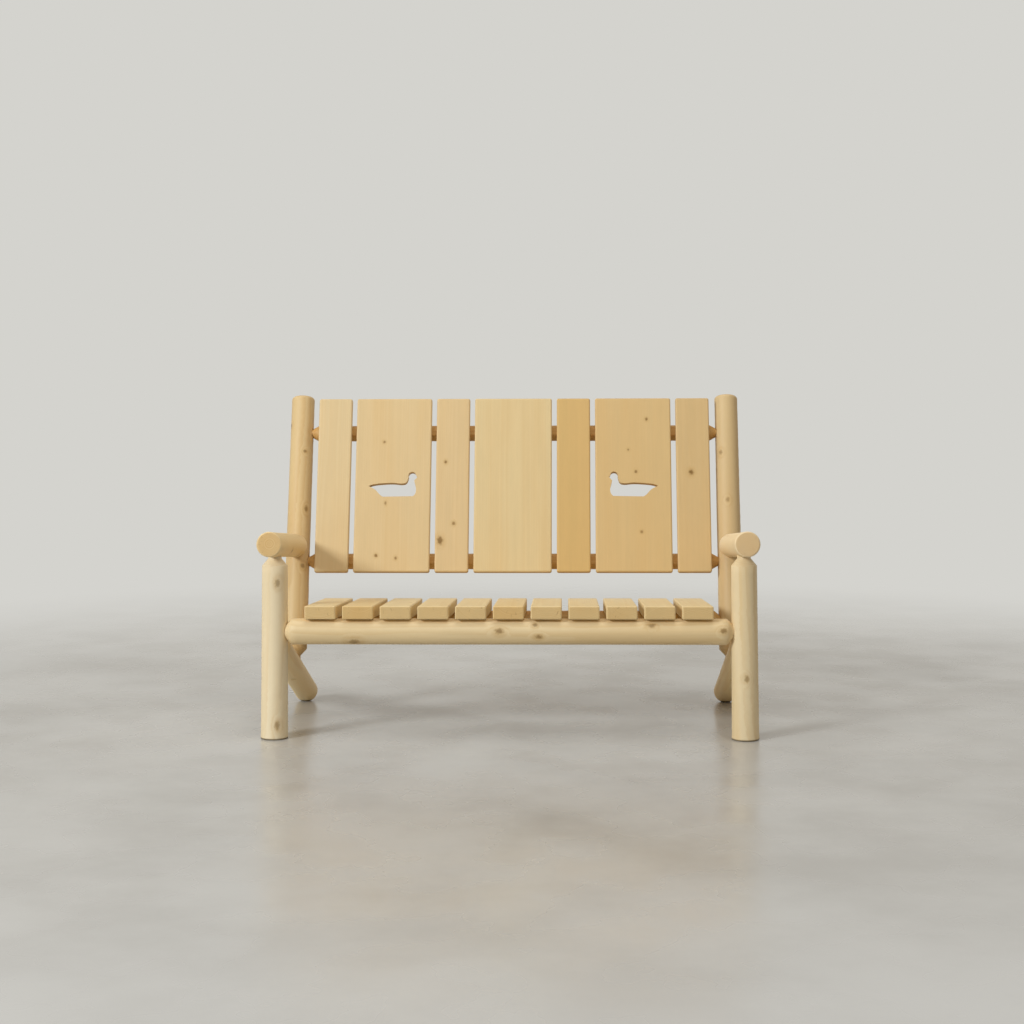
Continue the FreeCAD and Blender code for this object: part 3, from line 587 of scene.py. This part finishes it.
def side_logs():
    """The four logs of each side frame."""
    logs = []
    for title, side in SIDES.items():
        for name, start, run, facing, radius, taper, tones in (
            ("front_leg_", LEG_FOOT, LEG_RUN, FRONT, LEG_RADIUS, LEG_TAPER, LEG_TONES),
            ("arm_", ARM_FRONT, ARM_RUN, UP, ARM_RADIUS, 0, ARM_TONES_LIT_AND_SHADED),
            ("side_rail_", SIDE_RAIL_TOP, SIDE_RAIL_RUN, -UP, SIDE_RAIL_RADIUS, 0, SIDE_RAIL_TONES_PAINTED_BOUNCE),
            ("back_post_", POST_FOOT, POST_RUN, FRONT, POST_RADIUS, POST_TAPER, POST_TONES),
        ):
            start, run = mirrored(start, side), mirrored(run, side)
            logs.append(Log(name + title, start, run, facing, radius, taper, tones=tones[title]))
    return logs


def cross_logs():
    """The two seat rails and the two back rails, each with its planed flat."""
    seat_flat, back_flat = (SEAT_FACING, SEAT_PLANE), (BACK_FACING, BACK_PLANE)
    # The rear seat rail and back rails take the darker tones, painted shade under and behind the slats
    pole_tones_painted_shade = (POLE_EARLY_PAINTED_SHADE, POLE_LATE_PAINTED_SHADE)
    return [
        Log("front_seat_rail", FRONT_RAIL, ACROSS, FRONT, SEAT_RAIL_RADIUS, flat=seat_flat),
        Log("rear_seat_rail", REAR_RAIL, ACROSS, FRONT, SEAT_RAIL_RADIUS, 0, seat_flat, pole_tones_painted_shade),
        Log("lower_back_rail", LOWER_BACK_RAIL, ACROSS, FRONT, BACK_RAIL_RADIUS, 0, back_flat, pole_tones_painted_shade),
        Log("upper_back_rail", UPPER_BACK_RAIL, ACROSS, FRONT, BACK_RAIL_RADIUS, 0, back_flat, pole_tones_painted_shade),
    ]


# Knots scattered over the side of each log that faces away: how many, where along it, and their looks
UNSEEN_KNOTS = 4
RAIL_REACH = (-0.58, 0.58)
LOG_REACH = (0.06, 0.5)
KNOT_SCATTER = (0.1, 0.9)
UNSEEN_KNOT_RADII = (0.004, 0.008)
UNSEEN_KNOT_LENGTH = 1.2
UNSEEN_KNOT_DARK = 0.55


def log_knots(log, reach, seed):
    """Knots that the log shows, and a few faint ones elsewhere, in the log's axes."""
    chance = random.Random(seed)
    knots = []
    for along, growth, size, length, strength in LOG_KNOTS.get(log.name, ()):
        direction = log.place.local(growth).normalized()
        centre = direction * log.radius(along) + Vector((0, 0, along))
        knots.append((centre, direction, size, length, strength))
    low, high = reach
    for number in range(UNSEEN_KNOTS):
        angle = chance.uniform(*KNOT_SCATTER) * math.pi
        direction = Vector((math.cos(angle), -math.sin(angle), 0))
        along = low + (high - low) * (number + chance.uniform(*KNOT_SCATTER)) / UNSEEN_KNOTS
        size = chance.uniform(*UNSEEN_KNOT_RADII)
        centre = direction * log.radius(along) + Vector((0, 0, along))
        knots.append((centre, direction, size, UNSEEN_KNOT_LENGTH, UNSEEN_KNOT_DARK))
    return knots


# Cutting a log into rings: points this close are one, and edges this short are slivers
WELD = 0.000002
SLIVER = 0.00001

# Points this near the turned surface are skin. Its unevenness fades out over a stretch at each end.
SKIN_BAND = 0.0001
RING_STEP = 0.016
END_FADE = 0.02

# How deep the skin is uneven and fluted, and how far from a knot it stays proud
UNEVEN_DEPTH = 0.0007
UNEVEN_FINENESS = (14, 14, 7)
FLUTE_DEPTH = 0.00022
FLUTE_FINENESS = (70, 70, 3)
KNOT_RISE_REACH = 0.016

# Points this near a planed flat or the floor stay there, but the front feet's rims move in by the ease
FLAT_BAND = 0.00005
FOOT_EASE = 0.004
SHARP_ANGLE = math.radians(34)


def share_between(value, low, high):
    """Smooth step from 0 at the low value to 1 at the high one."""
    share = min(max((value - low) / (high - low), 0), 1)
    return share * share * (3 - 2 * share)


def noise_share(point, fineness, shift):
    """Noise at a point of the log, from 0 to 1."""
    spot = Vector([along * fine for along, fine in zip(point, fineness)])
    return 0.5 + 0.5 * noise.noise(spot + Vector(shift))


def peel_depth(local, knots, seed):
    """How far a point of the skin lies inside the turned log."""
    depth = UNEVEN_DEPTH * noise_share(local, UNEVEN_FINENESS, (seed, 0, 0))
    depth += FLUTE_DEPTH * noise_share(local, FLUTE_FINENESS, (0, seed, 0))
    for centre, *_ in knots:
        gap = (local - centre).length / KNOT_RISE_REACH
        depth *= 1 - math.exp(-gap * gap)
    return max(depth, 0)


def peeled_log(log, knots, seed):
    """Copy of a log, cut into rings, whose skin is uneven, fluted, and proud only at its knots."""
    mesh = bmesh.new()
    mesh.from_mesh(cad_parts[log.name].data)
    bmesh.ops.remove_doubles(mesh, verts=mesh.verts, dist=WELD)
    back = log.place.turn.transposed()
    spots = {v: back @ (v.co - log.place.origin) for v in mesh.verts}
    skin = [s.z for s in spots.values() if abs(s.xy.length - log.radius(s.z)) < SKIN_BAND]
    first, last = min(skin), max(skin)
    rings = int((last - first) / RING_STEP)
    for ring in range(1, rings):
        along = first + (last - first) * ring / rings
        everything = mesh.verts[:] + mesh.edges[:] + mesh.faces[:]
        centre = log.place.origin + log.place.along * along
        bmesh.ops.bisect_plane(mesh, geom=everything, dist=WELD, plane_co=centre, plane_no=log.place.along)
    bmesh.ops.dissolve_degenerate(mesh, dist=SLIVER, edges=mesh.edges)
    stands = log.place.origin.z < FLAT_BAND
    for vert in mesh.verts:
        gap = vert.co - log.place.origin
        if stands and vert.co.z < FLAT_BAND:
            vert.co -= gap * (FOOT_EASE / gap.length)
            continue
        local = back @ gap
        out = local.xy.length
        if abs(out - log.radius(local.z)) > SKIN_BAND or vert.co.z < FLAT_BAND:
            continue
        if log.flat:
            facing, height = log.flat
            if gap.dot(facing) > height - FLAT_BAND:
                continue
        fade = share_between(min(local.z - first, last - local.z), 0, END_FADE)
        wanted = log.radius(local.z) - peel_depth(local, knots, seed) * fade
        local.xy = local.xy * (wanted / out)
        vert.co = log.place.origin + log.place.turn @ local
    data = bpy.data.meshes.new(log.name + "_peeled")
    mesh.to_mesh(data)
    mesh.free()
    data.shade_smooth()
    data.set_sharp_from_angle(angle=SHARP_ANGLE)
    piece = bpy.data.objects.new(log.name + "_peeled", data)
    bpy.context.scene.collection.objects.link(piece)
    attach(piece, "root")
    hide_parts(log.name)
    return piece


def dress(name, material):
    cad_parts[name].data.materials[0] = material


LOG_CONTRAST = 0.5
LOG_PITH_OFFSET = 0.004
LOG_PITH_TURN = 2.4
LOG_KNOT_SEED = 100
LOG_WOOD_SEED = 200
SKIN_SEED = 20
SKIN_SEED_STEP = 3


def make_logs():
    """Peeled logs: the pith runs near the middle, so the skin shows long faint flames."""
    for number, log in enumerate(side_logs() + cross_logs()):
        reach = RAIL_REACH if log.flat else LOG_REACH
        knots = log_knots(log, reach, LOG_KNOT_SEED + number)
        turn = number * LOG_PITH_TURN
        pith = (LOG_PITH_OFFSET * math.cos(turn), LOG_PITH_OFFSET * math.sin(turn))
        material = wood_material(
            log.name + "_wood", log.place, pith, log.early, log.late,
            LOG_CONTRAST, knots, log.start_radius, LOG_WOOD_SEED + number,
        )
        piece = peeled_log(log, knots, SKIN_SEED + number * SKIN_SEED_STEP)
        piece.data.materials.append(material)


# The knots of a board run right through it, so they are deeper than any board is thick
BOARD_KNOT_DEPTH = 1
BOARD_KNOT_GROWTH = (0, 1, 0)

# Seat slats: which are warmer, where the pith may run, and the knots that some have
WARM_SEAT_SLATS = (1, 5)
SEAT_CONTRAST = 0.3
SEAT_PITH_ACROSS = 0.03
SEAT_PITH_DEPTHS = (0.05, 0.09)
SEAT_KNOT_CHANCE = 0.4
SEAT_KNOT_ACROSS = 0.03
SEAT_KNOT_ALONG = (0.05, 0.3)
SEAT_KNOT_RADII = (0.003, 0.005)
SEAT_KNOT_LENGTH = 1.2
SEAT_KNOT_DARK = 0.6
SEAT_PLACE_SEED = 300
SEAT_WOOD_SEED = 400


def dress_seat_slats():
    """Sawn boards: the pith runs outside the board, so the face shows lines and the ends show arcs."""
    for number in range(SEAT_SLAT_COUNT):
        chance = random.Random(SEAT_PLACE_SEED + number)
        tones = (SEAT_WARM_EARLY, SEAT_WARM_LATE) if number in WARM_SEAT_SLATS else (SEAT_EARLY, SEAT_LATE)
        middle = (number - (SEAT_SLAT_COUNT - 1) / 2) * SEAT_SLAT_PITCH
        place = Place(SEAT_FOOT + ACROSS * middle, SEAT_RUN, SEAT_FACING)
        pith_across = chance.uniform(-SEAT_PITH_ACROSS, SEAT_PITH_ACROSS)
        pith = (pith_across, chance.choice((-1, 1)) * chance.uniform(*SEAT_PITH_DEPTHS))
        knots = []
        if chance.random() < SEAT_KNOT_CHANCE:
            across = chance.uniform(-SEAT_KNOT_ACROSS, SEAT_KNOT_ACROSS)
            centre = (across, 0, chance.uniform(*SEAT_KNOT_ALONG))
            radius = chance.uniform(*SEAT_KNOT_RADII)
            knots.append((centre, BOARD_KNOT_GROWTH, radius, SEAT_KNOT_LENGTH, SEAT_KNOT_DARK))
        name = f"seat_slat_{number + 1:02d}"
        dress(name, wood_material(
            name + "_wood", place, pith, *tones,
            SEAT_CONTRAST, knots, BOARD_KNOT_DEPTH, SEAT_WOOD_SEED + number,
        ))


BACK_CONTRAST = 0.16
BACK_PITH_ACROSS = 0.05
BACK_PITH_DEPTHS = (0.06, 0.12)
BACK_PLACE_SEED = 500
BACK_WOOD_SEED = 600


def dress_back_slats():
    """Sawn boards of one tone each, with the knots at their own places."""
    for number, middle in enumerate(BACK_SLAT_MIDDLES, 1):
        chance = random.Random(BACK_PLACE_SEED + number)
        place = Place(BACK_FOOT + ACROSS * middle, BACK_RUN, BACK_FACING)
        pith_across = chance.uniform(-BACK_PITH_ACROSS, BACK_PITH_ACROSS)
        pith = (pith_across, -chance.uniform(*BACK_PITH_DEPTHS))
        turned = place.local(ACROSS).x
        knots = []
        for across, up, size, length, strength in BACK_KNOTS.get(number, ()):
            knots.append(((across * turned, 0, up), BOARD_KNOT_GROWTH, size, length, strength))
        name = f"back_slat_{number}"
        dress(name, wood_material(
            name + "_wood", place, pith, BOARD_TONES[number], LATE_WOOD,
            BACK_CONTRAST, knots, BOARD_KNOT_DEPTH, BACK_WOOD_SEED + number,
        ))


SCREW_GROUPS = (
    "seat_slat_screws",
    "back_slat_screws",
    "rail_tenon_screws",
    "arm_lag_screws",
    "post_lag_screws",
)


def dress_screws():
    steel = steel_material()
    for screws in SCREW_GROUPS:
        dress(screws, steel)


make_logs()
dress_seat_slats()
dress_back_slats()
dress_screws()


# Floor, light and camera

# Clouds of tone and patches of gloss on the floor, its size, and where it fades into the backdrop
CLOUD_SCALE = 1.6
CLOUD_RANGE = (0.35, 0.7)
GLOSS_SCALE = 4
GLOSS_RANGE = (0.3, 0.7)
FLOOR_ROUGHNESS = (0.2, 0.33)
FLOOR_RADIUS = 40
FLOOR_SIDES = 128
FADE_START = 1.3
FADE_END = 4.2


def any_seen_ray(graph):
    """1 for rays that show the background: from the camera, or by way of gloss or glass."""
    rays = graph.node("ShaderNodeLightPath").outputs
    seen = graph.maths("MAXIMUM", rays["Is Camera Ray"], rays["Is Glossy Ray"])
    return graph.maths("MAXIMUM", seen, rays["Is Transmission Ray"])


def make_floor():
    """Pale, slightly glossy floor that fades into the backdrop's colour far from the bench."""
    mesh = bmesh.new()
    bmesh.ops.create_circle(mesh, cap_ends=True, segments=FLOOR_SIDES, radius=FLOOR_RADIUS)
    data = bpy.data.meshes.new("floor")
    mesh.to_mesh(data)
    mesh.free()
    floor = bpy.data.objects.new("floor", data)
    bpy.context.scene.collection.objects.link(floor)
    material, graph, shader = new_material("floor_finish")
    place = graph.node("ShaderNodeTexCoord").outputs["Object"]
    clouds = graph.ramp(graph.noise(place, CLOUD_SCALE, 5, 0.6), *CLOUD_RANGE)
    graph.feed(shader.inputs["Base Color"], graph.mix(clouds, FLOOR_PALE, FLOOR_DARK))
    gloss = graph.ramp(graph.noise(place, GLOSS_SCALE, 3), *GLOSS_RANGE, *FLOOR_ROUGHNESS)
    graph.feed(shader.inputs["Roughness"], gloss)
    fade = graph.ramp(graph.vector("LENGTH", place), FADE_START, FADE_END)
    factor = graph.maths("MULTIPLY", fade, any_seen_ray(graph))
    backdrop = graph.node("ShaderNodeEmission", {"Color": BACKDROP, "Strength": 1}).outputs[0]
    mixed = graph.node("ShaderNodeMixShader", {0: factor, 1: shader.outputs[0], 2: backdrop}).outputs[0]
    graph.feed(material.node_tree.nodes["Material Output"].inputs["Surface"], mixed)
    data.materials.append(material)


AMBIENT = 0.36
AMBIENT_TINT = (1, 0.91, 0.8, 1)


def make_world():
    """Even light from all round, and a pale backdrop where the background is seen."""
    world = bpy.data.worlds.new("studio")
    bpy.context.scene.world = world
    world.use_nodes = True
    graph = Graph(world.node_tree)
    graph.tree.nodes.clear()
    light = graph.node("ShaderNodeBackground", {"Color": AMBIENT_TINT, "Strength": AMBIENT}).outputs[0]
    backdrop = graph.node("ShaderNodeBackground", {"Color": BACKDROP, "Strength": 1}).outputs[0]
    mixed = graph.node("ShaderNodeMixShader", {0: any_seen_ray(graph), 1: light, 2: backdrop}).outputs[0]
    graph.node("ShaderNodeOutputWorld", {"Surface": mixed})


# Lamps: place, what they point at, size, power in watts, and colour
KEY_LIGHT = ((-6.14, -6.0, 4.13), (0, 0, 0.55), (1.8, 1.8), 485, (0.93, 0.98, 1.03))
TOP_LIGHT = ((0.2, -1.0, 4.0), (0, 0, 0.4), (3.0, 2.4), 48, (1, 1, 1))
BACK_LIGHT = ((0, 2.6, 1.5), (0, 0, 0.3), (5.0, 2.4), 18, (1, 0.99, 0.97))


def softbox(name, location, target, size, power, colour):
    """Soft lamp, a rectangle that faces its target."""
    lamp = bpy.data.lights.new(name, "AREA")
    lamp.shape = "RECTANGLE"
    lamp.size, lamp.size_y = size
    lamp.energy = power
    lamp.color = colour
    holder = bpy.data.objects.new(name, lamp)
    holder.location = location
    holder.rotation_mode = "QUATERNION"
    holder.rotation_quaternion = (Vector(target) - Vector(location)).to_track_quat("-Z", "Y")
    bpy.context.scene.collection.objects.link(holder)
    return holder


CAMERA_PLACE = Vector((0.1563, -5.20858, 0.97535))
CAMERA_TURN = math.radians(-1.69371)
CAMERA_DROP = math.radians(3.79824)
CAMERA_ROLL = math.radians(-0.16275)
CAMERA_LENS = 61.66
CAMERA_SENSOR = 36


def make_camera():
    """Camera at the viewing angle of the photograph, turned, dropped and rolled from straight ahead."""
    level = math.cos(CAMERA_DROP)
    view = Vector((math.sin(CAMERA_TURN) * level, math.cos(CAMERA_TURN) * level, -math.sin(CAMERA_DROP)))
    flat_right = Vector((math.cos(CAMERA_TURN), -math.sin(CAMERA_TURN), 0))
    flat_up = flat_right.cross(view)
    right = flat_right * math.cos(CAMERA_ROLL) + flat_up * math.sin(CAMERA_ROLL)
    up = flat_up * math.cos(CAMERA_ROLL) - flat_right * math.sin(CAMERA_ROLL)
    camera = bpy.data.cameras.new("camera")
    camera.lens = CAMERA_LENS
    camera.sensor_width = CAMERA_SENSOR
    holder = bpy.data.objects.new("camera", camera)
    holder.location = CAMERA_PLACE
    holder.rotation_mode = "QUATERNION"
    holder.rotation_quaternion = Matrix((right, up, -view)).transposed().to_quaternion()
    bpy.context.scene.collection.objects.link(holder)
    bpy.context.scene.camera = holder


make_floor()
make_world()
softbox("key_light", *KEY_LIGHT)
softbox("top_light", *TOP_LIGHT)
back_light = softbox("back_light", *BACK_LIGHT)
back_light.visible_camera = False
back_light.visible_glossy = False
make_camera()
bpy.context.scene.view_settings.view_transform = "Standard"
